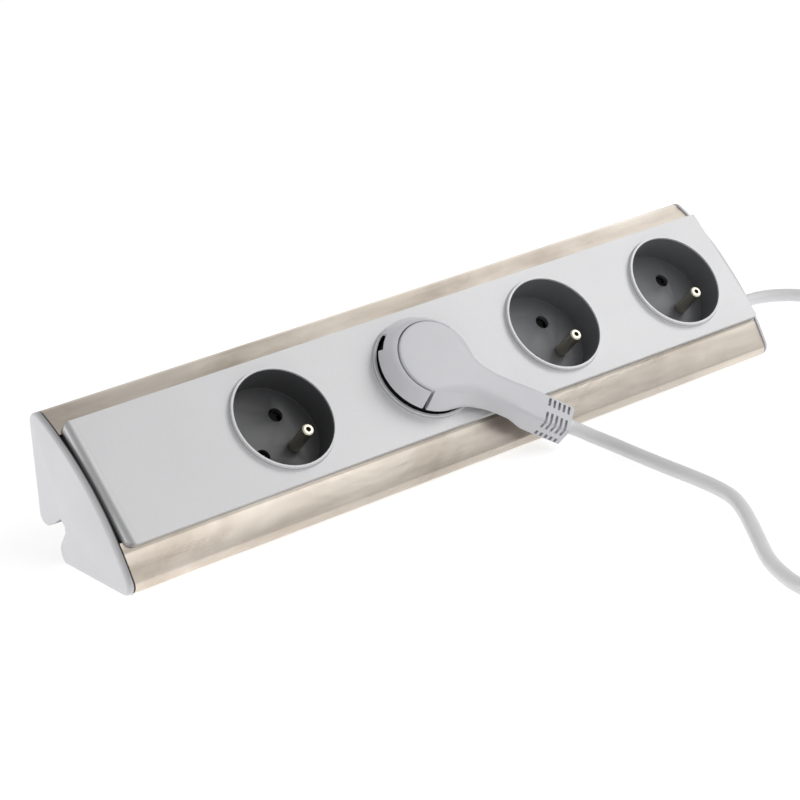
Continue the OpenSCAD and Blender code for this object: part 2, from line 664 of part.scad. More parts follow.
// End cap drawn for the left end, mirrored for the right
module end_cap(side) color(cap_colour) mirror([side > 0 ? 1 : 0, 0, 0]) {
    wall = 1.4;
    rib_in = sheet_t + 0.15;
    difference() {
        union() {
            difference() {
                // Plate with a rounded outer edge
                hull() for (a = [0 : 30 : 90]) {
                    inset = cap_edge_r * (1 - cos(a));
                    x = cap_t - cap_edge_r * (1 - sin(a));
                    along(-body_len / 2 - seam_gap - x, a == 0 ? x : 0.02) section_2d(cap_r - inset, cap_nose - inset, inset);
                }
            }
            // Step that makes the seam
            along(-body_len / 2 - seam_gap - 0.5, seam_gap + 0.5) section_2d(arc_r - 0.6, nose_r - 0.6, 0.6);
            // Spigots inside the noses
            along(-body_len / 2 - seam_gap, seam_gap + spigot_len) difference() {
                section_2d(arc_r - rib_in, nose_r - rib_in, rib_in);
                section_2d(arc_r - rib_in - wall, nose_r - rib_in - wall, rib_in + wall);
                rotate(45) translate([-1, -1]) square(lip_start + 7);
                translate([face_shift - slot_half - sheet_t - 0.6, 0]) square([2 * (slot_half + sheet_t + 0.6), clear]);
            }
        }
        along(-body_len / 2 - seam_gap - cap_t - 1, cap_t + seam_gap + 2) notch_2d(0);
        // Seat of the fascia's right end, and a flat beyond it
        if (side > 0) {
            along(-fascia_right - 0.2, fascia_over + 1) translate([face_shift - fascia_w / 2 - 0.2, crown_depth - lip_t - seat])
                square([fascia_w + 0.4, clear]);
            along(-body_len / 2 - seam_gap - cap_t - 1, cap_t + 1) translate([-slot_half, crown_depth - 0.3])
                square([2 * slot_half, clear]);
        }
    }
}

module terminal_block() color("#e4e2dc") intersection() {
    corner_frame(block_x) difference() {
        translate([0, -terminal_half, block_low]) cube([block_len, 2 * terminal_half, block_h]);
        for (s = [-terminal_s, 0, terminal_s]) translate([terminal_x - block_x, s, block_low - 1]) {
            cylinder(r = 1.5, h = terminal_bore_h + 1);
            translate([0, 0, block_h - 1.5]) cylinder(r = 1.9, h = 4);
        }
        // Slots for the ends of the rails
        for (side = [-1, 1]) translate([-1, side * rail_off - rail_w / 2 + face_shift - 0.3, rim_t + rail_z - 0.2])
            cube([terminal_x - 0.1 - block_x, rail_w + 0.6, 1.4]);
        translate([-1, -rail_off - rail_w / 2 + face_shift - 0.3, rim_t + rail_z + 2.8])
            cube([terminal_x - 0.1 - block_x, rail_w + 0.6, block_h]);
    }
    along(block_x - 1, block_len + 2) wedge_2d(cover_t + 0.4);
}

module terminal_screws() color("#c4c0a8") for (s = [-terminal_s, 0, terminal_s])
    corner_frame(terminal_x) translate([0, s, block_top - 2.2]) difference() {
        cylinder(r = 1.7, h = 2.6);
        translate([-2, -0.3, 1.8]) cube([4, 0.6, 1]);
    }

// Insulated core from the end of the lead up to a terminal
wire_climb = block_low - outlet_t;
module core_wire(s, shift) corner_frame(0) tube([
    [pocket_in - 4.3, shift, outlet_t], [pocket_in - 5.4, shift, outlet_t + 0.04 * wire_climb],
    [pocket_in - 6.2, 0.5 * shift + 0.2 * s, outlet_t + 0.19 * wire_climb], [terminal_x - 0.2, 0.7 * s, outlet_t + 0.4 * wire_climb],
    [terminal_x, s, outlet_t + 0.9 * wire_climb], [terminal_x, s, block_low + 2.5]
], 0.8, 8);

module wire_live() color("#7a4a2a") core_wire(terminal_s, 1.75);
module wire_neutral() color("#3c6ab0") core_wire(0, 0);
module wire_earth() color("#6aa84f") core_wire(-terminal_s, -1.75);

module cord_gland() color(plug_colour) corner_frame(0) translate([0, 0, outlet_t]) rotate([0, 90, 0]) difference() {
    reach = gland_end_x - pocket_in;
    groove_pitch = 2.9;
    collar_r = gland_neck + 0.5;
    union() {
        // Flange inside, neck through the wall, collar and tapered sleeve outside
        translate([0, 0, pocket_in - pocket_wall - 0.1 - flange_t]) cylinder(r = gland_neck + 0.9, h = flange_t);
        translate([0, 0, pocket_in - pocket_wall - 0.6]) cylinder(r = gland_neck, h = pocket_wall + 1);
        translate([0, 0, pocket_in]) rotate_extrude() polygon([
            [0, 0.1], [collar_r, 0.1], [collar_r, 1.6], [collar_r - 0.4, 2.2],
            [gland_end_r, reach], [0, reach]
        ]);
    }
    translate([0, 0, pocket_in - 10]) cylinder(r = cord_r + 0.1, h = reach + 20);
    // Grooves that let the sleeve bend
    for (k = [0 : 4]) for (a = [0, 180]) rotate([0, 0, a + 90 * (k % 2)])
        translate([cord_r + 0.5, -5, pocket_in + 6 + groove_pitch * k]) cube([4, 10, 1.1]);
}

module lead_tail() color(cord_colour) corner_frame(0) translate([pocket_in - 4, 0, outlet_t]) rotate([0, 90, 0])
    cylinder(r = cord_r, h = gland_end_x - pocket_in + 4);

// Frame of the plug: x along its neck, y across it, z out of the face
module plug_frame() face_frame(socket_x(plug_socket)) rotate([0, 0, -45]) children();

module plug_core() color("#3a3b3e") plug_frame() difference() {
    union() {
        translate([0, 0, core_face + 1]) cylinder(r = core_r, h = core_top - core_face - 1);
        translate([0, 0, core_face]) rotate_extrude() polygon([[0, 0], [core_r - 1, 0], [core_r, 1], [0, 1]]);
    }
    for (side = [-1, 1]) translate([0, side * contact_off, core_face - 1]) cylinder(r = pin_r + 0.03, h = 8);
    translate([earth_off, 0, core_face - 1]) cylinder(r = earth_r + 1, h = -core_face + 0.7);
    // Keyed edge at the side away from the neck
    translate([-core_r - 1, -3, core_face - 1]) cube([2.4, 6, 9]);
}

module plug_pin(side) color(nickel_colour) plug_frame() translate([0, side * contact_off, core_face - pin_len]) {
    translate([0, 0, 1.5]) cylinder(r = pin_r, h = pin_len + 5);
    rotate_extrude() polygon([[0, 0], [pin_r - 1.1, 0], [pin_r - 0.3, 0.6], [pin_r, 1.5], [0, 1.5]]);
}

module plug_pin_live() plug_pin(1);
module plug_pin_neutral() plug_pin(-1);

module plug_earth_sleeve() color(brass_colour) plug_frame() translate([earth_off, 0, core_face + 0.3]) difference() {
    cylinder(r = earth_r + 0.9, h = -core_face - 0.9);
    translate([0, 0, -1]) cylinder(r = earth_r + 0.06, h = 30);
    for (a = [0, 90]) rotate([0, 0, a]) translate([-5, -0.35, -1]) cube([10, 0.7, 9]);
}

// Slab of the neck's eight-sided section at x
module neck_slab(x, half, low, top, chamfer) translate([x, 0, 0]) rotate([90, 0, 90]) linear_extrude(0.2) polygon([
    [-half + chamfer, low], [half - chamfer, low], [half, low + chamfer], [half, top - chamfer],
    [half - chamfer, top], [-half + chamfer, top], [-half, top - chamfer], [-half, low + chamfer]
]);

// Outside of ring and flare, turned about the head's axis
module flare_profile(inner) polygon([
    [inner, ring_low], [ring_r - 0.4, ring_low], [ring_r, ring_low + 0.5], [ring_r - 0.5, ring_low + 1.9],
    [head_r + 2.1, ring_top - 1.1], [head_r + 1.2, ring_top - 0.2], [head_r + 0.8, ring_top], [inner, ring_top]
]);

module plug_body() color(plug_colour) plug_frame() {
    slots = 5;
    slot_pitch = 2;
    slot_w = 0.9;
    slot_deep = 1.3;
    relief_half = neck_half + 0.2;
    base = core_top + 0.1;
    difference() {
        union() {
            // Head with a rounded, slightly crowned top
            rotate_extrude() polygon([
                [0, base], [head_r, base], [head_r, head_top - 1], [head_r - 0.3, head_top - 0.35],
                [head_r - 1, head_top - 0.05], [head_r - 5, head_top + 0.1], [0, head_top + 0.1]
            ]);
            // Flare that carries the ring's outline on towards the neck
            intersection() {
                rotate_extrude() flare_profile(0);
                translate([ring_end_x + ring_slot, -30, -5]) cube(60);
            }
            hull() {
                neck_slab(ring_r - 3, 9.6, ring_low + 0.3, ring_low + 3, 0.8);
                neck_slab(27.5, neck_half - 0.4, base + 0.5, neck_top - 1.5, 1.2);
            }
            // Straight flanks from the head into the neck
            hull() {
                neck_slab(head_r * cos(62), head_r * sin(62) - 0.8, base + 0.4, head_top - 0.5, 1);
                neck_slab(20, neck_half + 0.5, base + 0.2, neck_top + 0.2, 1);
            }
            hull() {
                neck_slab(19, neck_half, base, neck_top, 1.2);
                neck_slab(relief_start, relief_half, relief_low, neck_top, 1.6);
            }
            hull() {
                neck_slab(relief_start, relief_half, relief_low, neck_top, 1.6);
                neck_slab(neck_len - 0.2, relief_half - 0.5, relief_low + 0.3, neck_top - 0.2, 1.6);
            }
        }
        // Trunnion holes of the ring
        for (side = [-1, 1]) translate([ring_hinge_x, side * (head_r + 1), ring_hinge_z]) rotate([side * 90, 0, 0])
            cylinder(r = 1.06, h = 3);
        // Slots of the strain relief: rows on two faces and over two edges, the same after half a turn
        for (k = [0 : slots - 1]) translate([neck_len - 2 - slot_pitch * k, 0, (neck_top + relief_low) / 2])
            for (turn = [0, 180]) rotate([turn, 0, 0]) translate([-slot_w / 2, 0, 0]) {
                top = (neck_top - relief_low) / 2;
                translate([0, 1.3, top - slot_deep]) cube([slot_w, 3.4, 2]);
                translate([0, -relief_half - 1, top - slot_deep]) cube([slot_w, relief_half - 0.3, 2]);
                translate([0, -relief_half - 1, 0.6]) cube([slot_w, 1 + slot_deep, top]);
                translate([0, -relief_half - 1, -top + 1]) cube([slot_w, 1 + slot_deep, 1.8]);
            }
    }
}

module plug_ring() color(plug_colour) plug_frame() {
    difference() {
        intersection() {
            rotate_extrude() flare_profile(ring_in);
            translate([-40, -40, -5]) cube([40 + ring_end_x, 80, 40]);
        }
        // Thumb notch under the edge away from the neck
        translate([-ring_r - 1, -3.7, ring_low - 1]) cube([3, 7.4, 3]);
    }
    for (side = [-1, 1]) translate([ring_hinge_x, side * (head_r - 1.2), ring_hinge_z]) rotate([side * -90, 0, 0])
        cylinder(r = 1, h = 1.9);
}

// Coil in two layers: in towards the middle, up a layer in half a turn, and out again
function coil_radius(turn) =
    turn < coil_turns ? coil_inner + coil_pitch * (coil_turns - turn) :
    turn < coil_turns + 0.5 ? coil_inner - 1.2 * sin(360 * (turn - coil_turns)) :
    coil_inner + coil_pitch * (turn - coil_turns - 0.5);
function coil_height(turn) = cord_r + coil_rise * min(1, max(0, (turn - coil_turns) * 2));
function coil_point(turn) = let (a = coil_start + 360 * turn)
    [coil_centre[0] + coil_radius(turn) * cos(a), coil_centre[1] + coil_radius(turn) * sin(a), coil_height(turn)];
coil_total = 2 * coil_turns + 0.5;
coil_steps = round(coil_total * coil_rings);
coil_wound = [for (k = [0 : coil_steps]) coil_point(coil_total * k / coil_steps)];
coil_out = unit(coil_wound[coil_steps] - coil_wound[coil_steps - 1]);
coil_flat_out = unit([coil_out[0], coil_out[1], 0]);
coil_path = concat([coil_wound[0] - [cord_d, 0, 0]], coil_wound, [coil_wound[coil_steps] + cord_d * coil_flat_out]);
// Least gap between stretches of the coil that are more than half a turn apart
coil_gap = min([for (i = [0 : 2 : len(coil_path) - 1]) for (k = [i + 14 : 2 : len(coil_path) - 1])
    norm(coil_path[i] - coil_path[k])]) - cord_d;
echo(coil_gap = coil_gap);

// A place in the plug's frame, in the frame of the whole object
function plug_point(x, z) = let (v = face_shift - x / root2, n = rim_t + z)
    [socket_x(plug_socket) + x / root2, corner_y + (v - n) / root2, (v + n) / root2];
lead_run_path = concat([plug_point(neck_len, exit_z), plug_point(neck_len + 2, exit_z)], lead_run_points, [coil_path[0]]);
coil_end = coil_path[len(coil_path) - 1];
lead_out_path = concat(
    [[gland_end_x, corner_y - cord_off, cord_off], [gland_end_x + 2, corner_y - cord_off, cord_off]],
    lead_out_points, [coil_end + cord_d * coil_flat_out, coil_end]
);

module lead_run() color(cord_colour) tube(lead_run_path, cord_r, 8);
module lead_coil() color(cord_colour) tube(coil_path, cord_r, 6);
module lead_out() color(cord_colour) tube(lead_out_path, cord_r, 8);

steel_profile();
fascia();
end_cap(-1);  // end_cap_left
end_cap(1);  // end_cap_right
rear_cover();
cover_screws();
for (i = [1 : socket_count]) {
    socket_well(i);
    earth_pin(i);
    shutter(i);
    shutter_spring(i);
}
contact_carrier();
live_rail();
neutral_rail();
earth_rail();
terminal_block();
terminal_screws();
wire_live();
wire_neutral();
wire_earth();
cord_gland();
lead_tail();
plug_core();
plug_body();
plug_ring();
plug_pin_live();
plug_pin_neutral();
plug_earth_sleeve();
lead_out();
lead_coil();
lead_run();
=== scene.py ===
"""Looks of the corner power strip: its finishes, the moulded plug and the mains lead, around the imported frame.

The frame's X runs along the strip, +Y points to the wall and Z up from the worktop. Lengths are in metres,
except where a comment says millimetres.
"""
import json
import math
from typing import NamedTuple
import bmesh
import bpy
from mathutils import Matrix, Vector

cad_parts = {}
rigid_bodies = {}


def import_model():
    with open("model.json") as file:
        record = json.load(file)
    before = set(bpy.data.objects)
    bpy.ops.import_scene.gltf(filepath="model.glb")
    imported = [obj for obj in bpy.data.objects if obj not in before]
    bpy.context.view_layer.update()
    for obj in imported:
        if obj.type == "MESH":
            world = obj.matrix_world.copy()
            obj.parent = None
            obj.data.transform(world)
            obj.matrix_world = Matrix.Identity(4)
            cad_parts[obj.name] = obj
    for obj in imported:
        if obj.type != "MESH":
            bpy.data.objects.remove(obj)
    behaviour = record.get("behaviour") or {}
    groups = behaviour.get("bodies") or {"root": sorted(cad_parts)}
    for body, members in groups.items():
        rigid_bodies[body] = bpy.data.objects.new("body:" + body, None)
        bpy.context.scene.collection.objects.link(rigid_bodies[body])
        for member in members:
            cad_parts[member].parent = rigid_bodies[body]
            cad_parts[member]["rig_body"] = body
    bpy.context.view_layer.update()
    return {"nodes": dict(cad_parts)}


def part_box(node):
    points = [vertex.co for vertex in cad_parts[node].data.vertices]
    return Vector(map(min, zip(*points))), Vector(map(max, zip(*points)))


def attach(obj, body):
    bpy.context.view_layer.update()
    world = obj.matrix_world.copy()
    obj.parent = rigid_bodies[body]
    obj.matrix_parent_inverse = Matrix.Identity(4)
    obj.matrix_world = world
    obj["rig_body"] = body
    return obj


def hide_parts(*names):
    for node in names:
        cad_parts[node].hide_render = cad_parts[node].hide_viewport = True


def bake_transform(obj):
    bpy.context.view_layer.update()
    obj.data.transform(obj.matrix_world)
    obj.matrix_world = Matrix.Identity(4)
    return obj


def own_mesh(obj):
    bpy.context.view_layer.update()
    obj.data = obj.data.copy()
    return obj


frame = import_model()
nodes = frame["nodes"]
MM = 0.001

# The strip's face: the sockets' axes lie FACE_SHIFT up the slope from the corner's bisector, and the plane of
# their rims lies RIM_T out from the corner
corner_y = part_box("rear_cover")[1].y
FACE_SHIFT = 1.6 * MM
RIM_T = 48.7 * MM
SOCKET_X = [-0.0709, -0.0059, 0.0591, 0.1241]
PLUG_SOCKET = 1
SLOPE = Matrix.Translation((0, corner_y, 0)) @ Matrix.Rotation(math.radians(45), 4, "X")


def face_frame(x):
    """The frame of the face at x: x along the strip, y up the slope, z out, origin in the plane of the rims."""
    return Matrix.Translation((x, 0, 0)) @ SLOPE @ Matrix.Translation((0, FACE_SHIFT, RIM_T))


PLUG_FRAME = face_frame(SOCKET_X[PLUG_SOCKET]) @ Matrix.Rotation(math.radians(-45), 4, "Z")


def scene_object(name, data):
    made = bpy.data.objects.new(name, data)
    bpy.context.scene.collection.objects.link(made)
    return made


# Camera
camera = scene_object("camera", bpy.data.cameras.new("camera"))
camera.location = (-0.582508, -0.727908, 0.390413)
camera.rotation_euler = [math.radians(a) for a in (68.284387, 3.233124, -39.308539)]
camera.data.sensor_width = 36
camera.data.lens = 120.56
camera.data.clip_end = 20
bpy.context.scene.camera = camera

# Mains lead: from the outlet in the right end, along the table, through the coil and back to the plug
CORD_D = 0.0054
CORD_SIDES = 20
GLAND_END = Vector((0.1659, corner_y - 0.0075, 0.0075))
LEAD_OUT = [
    (0.1731, 0.0193, 0.0069), (0.1784, 0.0193, 0.0051), (0.1836, 0.0193, 0.0033), (0.1888, 0.0193, 0.0027),
    (0.1963, 0.0183, 0.0027), (0.2026, 0.0153, 0.0027), (0.2078, 0.0106, 0.0027), (0.2115, 0.0046, 0.0027),
    (0.2132, -0.0022, 0.0027), (0.2129, -0.0092, 0.0027), (0.2106, -0.0158, 0.0027),
    (0.1999, -0.036, 0.0027), (0.1893, -0.0562, 0.0027), (0.1787, -0.0765, 0.0027),
    (0.168, -0.0967, 0.0027), (0.1574, -0.1169, 0.0027), (0.1468, -0.1371, 0.0027),
    (0.1415, -0.1471, 0.0027), (0.1388, -0.1522, 0.0034), (0.1361, -0.1573, 0.0056),
    (0.1334, -0.1624, 0.0079), (0.1308, -0.1675, 0.0086), (0.1255, -0.1775, 0.0086),
]
LEAD_RUN = [
    (0.0389, -0.0415, 0.0064), (0.0417, -0.046, 0.0044), (0.0435, -0.0512, 0.0032),
    (0.0441, -0.0568, 0.0027), (0.0436, -0.0664, 0.0027), (0.0431, -0.0825, 0.0027),
    (0.0429, -0.0983, 0.0027), (0.0418, -0.1113, 0.0027), (0.0395, -0.1199, 0.0027),
    (0.0349, -0.1287, 0.0027), (0.0275, -0.1399, 0.0027), (0.0189, -0.1521, 0.0027),
    (0.0108, -0.1643, 0.0027), (0.0056, -0.1765, 0.0027), (0.0037, -0.186, 0.0027),
    (0.0056, -0.1956, 0.0027), (0.011, -0.2037, 0.0027), (0.0191, -0.2091, 0.0027),
    (0.0287, -0.211, 0.0027), (0.0441, -0.211, 0.0027), (0.0621, -0.211, 0.0027),
]
# The coil's two layers: turns of each, turns of the climb between them, and how far that bulges inwards
COIL_CENTRE = (0.0851, -0.1735)
COIL_INNER = 0.0235
COIL_PITCH = 0.006
COIL_RISE = 0.0059
COIL_TURNS = 7 / 3
COIL_CLIMB = 0.5
COIL_DIP = 0.0012
POINTS_PER_TURN = 24
# Where the lead leaves the strain relief, in the plug's frame, and its straight length at either end
NECK_END = 0.058
EXIT_Z = 0.0033
STRAIGHT = 0.002


def coil_point(turn):
    """A point of the coil: in towards the middle, up a layer in half a turn, and out again."""
    climb = min(1, max(0, (turn - COIL_TURNS) / COIL_CLIMB))
    if turn < COIL_TURNS:
        radius = COIL_INNER + COIL_PITCH * (COIL_TURNS - turn)
    elif turn < COIL_TURNS + COIL_CLIMB:
        radius = COIL_INNER - COIL_DIP * math.sin(math.pi * climb)
    else:
        radius = COIL_INNER + COIL_PITCH * (turn - COIL_TURNS - COIL_CLIMB)
    angle = math.radians(-90 + 360 * turn)
    return Vector((COIL_CENTRE[0] + radius * math.cos(angle), COIL_CENTRE[1] + radius * math.sin(angle),
                   CORD_D / 2 + COIL_RISE * climb))


def coil_path():
    """The whole coil, with a short level lead-in and lead-out."""
    total = 2 * COIL_TURNS + COIL_CLIMB
    steps = round(total * POINTS_PER_TURN)
    wound = [coil_point(total * k / steps) for k in range(steps + 1)]
    out = wound[-1] - wound[-2]
    out.z = 0
    return [wound[0] - Vector((CORD_D, 0, 0)), *wound, wound[-1] + CORD_D * out.normalized()]


def smooth_path(points, parts=3):
    """The points with a Catmull-Rom curve between them."""
    ends = [2 * points[0] - points[1], *points, 2 * points[-1] - points[-2]]
    made = []
    for a, b, c, d in zip(ends, ends[1:], ends[2:], ends[3:]):
        for k in range(parts):
            t = k / parts
            made.append(0.5 * (2 * b + (c - a) * t + (2 * a - 5 * b + 4 * c - d) * t * t
                               + (3 * b - a - 3 * c + d) * t ** 3))
    return made + [points[-1]]


def lead_path():
    """The lead's middle line, from the gland to the plug."""
    coil = coil_path()
    coil_out = (coil[-1] - coil[-2]).normalized()
    out = [GLAND_END, GLAND_END + Vector((STRAIGHT, 0, 0)), *map(Vector, LEAD_OUT),
           coil[-1] + CORD_D * coil_out]
    back = [*map(Vector, reversed(LEAD_RUN)), PLUG_FRAME @ Vector((NECK_END + STRAIGHT, 0, EXIT_Z)),
            PLUG_FRAME @ Vector((NECK_END, 0, EXIT_Z))]
    return smooth_path([*out, *reversed(coil), *back])


def mesh_object(name, verts, faces, smooth=True):
    mesh = bpy.data.meshes.new(name)
    mesh.from_pydata([tuple(v) for v in verts], [], faces)
    mesh.validate()
    for face in mesh.polygons:
        face.use_smooth = smooth
    return scene_object(name, mesh)


def skin(rings, base=0):
    """A tube over rings of points: its points, its side faces and its two end faces, counted from base."""
    size = len(rings[0])
    starts = [base + j * size for j in range(len(rings))]
    sides = [(a + k, a + (k + 1) % size, b + (k + 1) % size, b + k)
             for a, b in zip(starts, starts[1:]) for k in range(size)]
    ends = [tuple(range(base + size - 1, base - 1, -1)), tuple(range(starts[-1], starts[-1] + size))]
    return [point for ring in rings for point in ring], sides, ends


def swept(name, path, radius):
    """A closed round tube along a path."""
    angles = [2 * math.pi * k / CORD_SIDES for k in range(CORD_SIDES)]
    rings = []
    normal = Vector((0, 0, 1))
    for i, point in enumerate(path):
        tangent = (path[min(i + 1, len(path) - 1)] - path[max(i - 1, 0)]).normalized()
        normal = (normal - normal.dot(tangent) * tangent).normalized()
        side = tangent.cross(normal)
        rings.append([point + radius * (math.cos(a) * normal + math.sin(a) * side) for a in angles])
    verts, sides, ends = skin(rings)
    return mesh_object(name, verts, sides + ends)


route = lead_path()
lead = swept("mains_lead", route, CORD_D / 2)
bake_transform(lead)
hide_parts("lead_out", "lead_coil", "lead_run")

# Materials. Noise scales are in features per metre; most of a noise lies between NOISE_LOW and NOISE_HIGH
WHITE = (1, 1, 1, 1)
NOISE_LOW, NOISE_HIGH = 0.3, 0.7
MOTTLE_SCALE = 55
GLOSS_SCALE = 30
GRAIN_SCALE = 2600
GRAIN_HEIGHT = 0.00002
METAL_TINT_SCALE = 90
METAL_GLOSS_SCALE = 300
METAL_SCRATCH_SCALE = 1800
COAT_ROUGH = 0.25


def linear(channel):
    c = channel / 255
    return c / 12.92 if c <= 0.04045 else ((c + 0.055) / 1.055) ** 2.4


def srgb(colour):
    return (*[linear(c) for c in colour], 1.0)


class Graph:
    """The node tree of a material or a world, with the steps that several of them share."""

    def __init__(self, owner):
        owner.use_nodes = True
        self.tree = owner.node_tree

    def feed(self, node, inputs):
        """Sets each input of a node to a value, or links it to the output of another node."""
        for key, value in inputs.items():
            if isinstance(value, bpy.types.NodeSocket):
                self.tree.links.new(value, node.inputs[key])
            else:
                node.inputs[key].default_value = value
        return node

    def add(self, kind, inputs):
        """A new node with its inputs fed."""
        return self.feed(self.tree.nodes.new(kind), inputs)

    def maths(self, operation, a, b=0.0):
        """One step of arithmetic on sockets or numbers."""
        node = self.add("ShaderNodeMath", {0: a, 1: b})
        node.operation = operation
        return node.outputs[0]

    def ranged(self, value, low, high, start=NOISE_LOW, end=NOISE_HIGH):
        """A number that goes from low to high as a value goes from start to end, and stays so beyond them."""
        node = self.add("ShaderNodeMapRange", {"Value": value, "From Min": start, "From Max": end,
                                               "To Min": low, "To Max": high})
        return node.outputs["Result"]

    def mixed(self, kinds, plain, bright):
        """Mixes two shaders: bright for the named kinds of ray, and plain for all others."""
        rays = self.tree.nodes.new("ShaderNodeLightPath").outputs
        value = rays[kinds[0]]
        for kind in kinds[1:]:
            value = self.maths("MAXIMUM", value, rays[kind])
        return self.add("ShaderNodeMixShader", {"Fac": value, 1: plain, 2: bright}).outputs[0]

    def by_ray(self, plain, mirrored, seen):
        """One shader for the camera, one for reflections, and a plain one for all other rays."""
        unseen = self.mixed(("Is Glossy Ray",), plain, mirrored)
        return self.mixed(("Is Camera Ray", "Is Transmission Ray"), unseen, seen)


class Surface(Graph):
    """A material on one principled shader, with the steps that the finishes share."""

    def __init__(self, name, rough, metallic=0.0, coat=0.0, sheen=0.0, anisotropic=0.0, specular=0.5):
        self.material = bpy.data.materials.new(name)
        super().__init__(self.material)
        self.shader = self.feed(self.tree.nodes["Principled BSDF"], {
            "Roughness": rough, "Metallic": metallic, "Coat Weight": coat, "Coat Roughness": COAT_ROUGH,
            "Sheen Weight": sheen, "Anisotropic": anisotropic, "Specular IOR Level": specular})
        self.place = self.tree.nodes.new("ShaderNodeTexCoord").outputs["Object"]

    def noise(self, scale, stretch=(1, 1, 1), detail=3, rough=0.55, distortion=0.0):
        """Noise in the object's own coordinates."""
        mapping = self.add("ShaderNodeMapping", {"Vector": self.place, "Scale": stretch})
        texture = self.add("ShaderNodeTexNoise", {"Vector": mapping.outputs["Vector"], "Scale": scale,
                                                  "Detail": detail, "Roughness": rough,
                                                  "Distortion": distortion})
        return texture.outputs["Fac"]

    def face_place(self):
        """Places in the face's frame, in millimetres: along the strip, up the slope, out of the face."""
        back = face_frame(0).inverted()
        mapping = self.add("ShaderNodeMapping", {"Vector": self.place, "Scale": (1 / MM, 1 / MM, 1 / MM),
                                                 "Rotation": back.to_euler(),
                                                 "Location": back.translation / MM})
        return self.add("ShaderNodeSeparateXYZ", {0: mapping.outputs["Vector"]}).outputs[:]

    def ramp(self, value, stops):
        """Colours along a value, straight between (place, colour) stops."""
        node = self.add("ShaderNodeValToRGB", {"Fac": value})
        elements = node.color_ramp.elements
        for element, (place, colour) in ((elements[0], stops[0]), (elements[1], stops[-1])):
            element.position = place
            element.color = colour
        for place, colour in stops[1:-1]:
            elements.new(place).color = colour
        return node.outputs["Color"]

    def colours(self, value, *stops):
        """Colours along a value: each stop is (place, sRGB 0-255 triple)."""
        return self.ramp(value, [(place, srgb(colour)) for place, colour in stops])

    def stepped(self, value, *stops):
        """A number along a value through (place, number) stops, straight between them."""
        first, last = stops[0][0], stops[-1][0]
        return self.ramp(self.ranged(value, 0, 1, first, last),
                         [((place - first) / (last - first), (number, number, number, 1))
                          for place, number in stops])

    def beyond_middle(self, value, level=1.0):
        """Zero where a place is below zero, and level where it is above."""
        return self.stepped(value, (-1, 0.0), (1, level))

    def scaled(self, colour, *factors):
        """A colour times numbers."""
        for factor in factors:
            node = self.tree.nodes.new("ShaderNodeMix")
            node.data_type = "RGBA"
            node.blend_type = "MULTIPLY"
            colour = self.feed(node, {"Factor": 1, "A": colour, "B": factor}).outputs["Result"]
        return colour

    def tinted(self, noise, low, high):
        """A noise between two colours."""
        return self.colours(noise, (NOISE_LOW, low), (NOISE_HIGH, high))

    def mottled(self, low, high):
        """The faint mottling of moulded plastic."""
        return self.tinted(self.noise(MOTTLE_SCALE, detail=4), low, high)

    def grained(self, glossy, dull, scale=GRAIN_SCALE, height=GRAIN_HEIGHT):
        """The slow change of gloss and the fine spark-eroded grain of moulded plastic."""
        self.rough(self.ranged(self.noise(GLOSS_SCALE), glossy, dull))
        self.bump(self.noise(scale, detail=2), height)

    def base(self, colour):
        self.feed(self.shader, {"Base Color": colour})

    def rough(self, value):
        self.feed(self.shader, {"Roughness": value})

    def bump(self, value, height, strength=1.0, after=None):
        """Relief of a given height, on top of the relief whose normal is given as after."""
        node = self.add("ShaderNodeBump", {"Strength": strength, "Distance": height, "Height": value})
        if after is not None:
            self.feed(node, {"Normal": after})
        self.feed(self.shader, {"Normal": node.outputs["Normal"]})
        return node.outputs["Normal"]


# Ramps over the face: each stop is a place in millimetres and a factor for the colour
# Steel: painted shade in the channel under the fascia, darkest at its ends, painted shade along the fascia's
# lower edge, and painted reflections that change the tone of the two bands along the strip
CHANNEL_SHADE = [(21, 0.0), (22.5, 1.0)]
CHANNEL_END_SHADE = [(149.5, 1.0), (150.6, 0.06)]
EDGE_SHADE = [(-26.6, 1.0), (-26.1, 0.95), (-25.8, 0.62), (-25.0, 0.56), (-22.0, 1.0)]
UPPER_PAINTED_REFLECTION = [(-150, 0.76), (0, 1.0), (150, 0.95)]
LOWER_PAINTED_REFLECTION = [(-150, 1.0), (-60, 0.75), (80, 0.64), (150, 0.84)]
# Fascia: painted shade in the hollow by its bead, counted from its left end, painted light that brightens it to
# the right along the strip, painted shade at the foot of its skirt, and the joint line round the collars, which
# stops short of the bead
FASCIA_LEFT = -150.7
HOLLOW_SHADE = [(-0.2, 1.0), (0.3, 0.95), (0.9, 0.55), (1.5, 0.36), (2.3, 0.55), (3.1, 0.78), (4.2, 0.86),
          (5.6, 0.94)]
FASCIA_PAINTED_LIGHT = [(-60, 0.95), (0, 0.98), (60, 1.0)]
SKIRT_FOOT_SHADE = [(-5.0, 0.3), (-4.2, 0.6), (-3.4, 1.0)]
JOINT_LINE = [(-1.3, 1.0), (-1.15, 0.55), (-0.95, 0.55), (-0.8, 1.0)]
JOINT_START = [(-146, 1.0), (-144, 0.0)]
# Wells: painted light, paler towards the right
WELL_PAINTED_LIGHT = [(-60, 0.44), (50, 0.97), (130, 1.0)]
# Caps: outer end of the seam beside the steel, how much further out it lies at the right, and then the painted
# shadow in the seam, its factor at the right, the painted shade on the rim, and the part of the section that the
# rim's shade leaves out
SEAM_END = 152.3
CAP_SHIFT = 1.2
SEAM_SHADOW = [(SEAM_END + 0.3, 0.01), (SEAM_END + 0.5, 1.0)]
RIGHT_SEAM_SHADOW = 0.95
RIM_SHADE = [(SEAM_END, 0.5), (SEAM_END + 1.2, 0.6), (SEAM_END + 2.4, 1.0)]
RIM_SHADE_LIMIT = [(26, 0.0), (38, 1.0)]
# Pins: distance between them, their distance from the well's axis, and the painted shade of the dimple from its
# middle outwards
PITCH = 65.0
PIN_OFF = 10.0
DIMPLE_SHADE = [(0.85, 0.02), (1.2, 1.0)]


